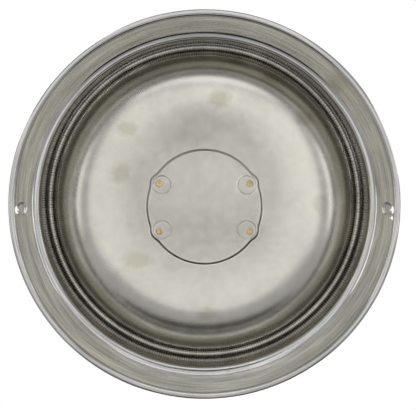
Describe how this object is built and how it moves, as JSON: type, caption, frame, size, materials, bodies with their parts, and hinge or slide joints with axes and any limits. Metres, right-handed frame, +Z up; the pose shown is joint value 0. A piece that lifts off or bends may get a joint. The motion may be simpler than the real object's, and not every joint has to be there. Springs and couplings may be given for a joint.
{
  "type": "beer keg",
  "caption": "Upright stainless steel keg with a domed base in a rolled bottom chime, rolling hoops, a top chime with hand-holds and a sprung spear valve in its neck.",
  "frame": {"origin": "middle of the plane that the keg stands on, under its bottom chime", "axes": "+Z up along the keg's axis, X through the drain holes of the bottom chime, hand-holds of the top chime facing -Y and +Y"},
  "size_m": [0.395, 0.395, 0.532],
  "materials": {
    "polished_steel": "polished with circumferential scratches",
    "blasted_steel": "satin, bead blasted and pickled, warm grey",
    "weld_metal": "rippled weld seam",
    "spring_steel": "drawn stainless wire",
    "brass": "dull machined brass",
    "rubber": "matt black rubber",
    "acetal": "white machined acetal"
  },
  "bodies": {
    "keg": {"bottom_chime": "polished_steel", "top_chime": "polished_steel", "bottom_dome": "blasted_steel", "top_dome": "blasted_steel", "base_disc": "blasted_steel", "body_shell": "blasted_steel", "bottom_weld_bead": "weld_metal", "top_weld_bead": "weld_metal", "lower_girth_weld": "weld_metal", "upper_girth_weld": "weld_metal", "neck_weld_bead": "weld_metal", "base_insert_left_back": "brass", "base_insert_left_front": "brass", "base_insert_right_back": "brass", "base_insert_right_front": "brass", "neck_fitting": "polished_steel", "spear_housing": "polished_steel", "spring_seat": "polished_steel", "retaining_ring": "spring_steel", "neck_seal": "rubber", "main_spring": "spring_steel"},
    "gas_valve": {"gas_valve_seal": "rubber", "valve_collar": "polished_steel", "down_tube": "polished_steel", "poppet_spring": "spring_steel"},
    "beer_valve": {"beer_poppet": "acetal"}
  },
  "joints": [
    {"name": "gas_valve_slide", "type": "slide", "parent": "keg", "child": "gas_valve", "axis": [0, 0, -1], "range_m": [0, 0.006], "stiffness_N_per_m": 4000, "springref_m": -0.012, "deforming": ["main_spring"]},
    {"name": "beer_valve_slide", "type": "slide", "parent": "gas_valve", "child": "beer_valve", "axis": [0, 0, -1], "range_m": [0, 0.004], "stiffness_N_per_m": 1500, "springref_m": -0.008, "deforming": ["poppet_spring"]}
  ]
}
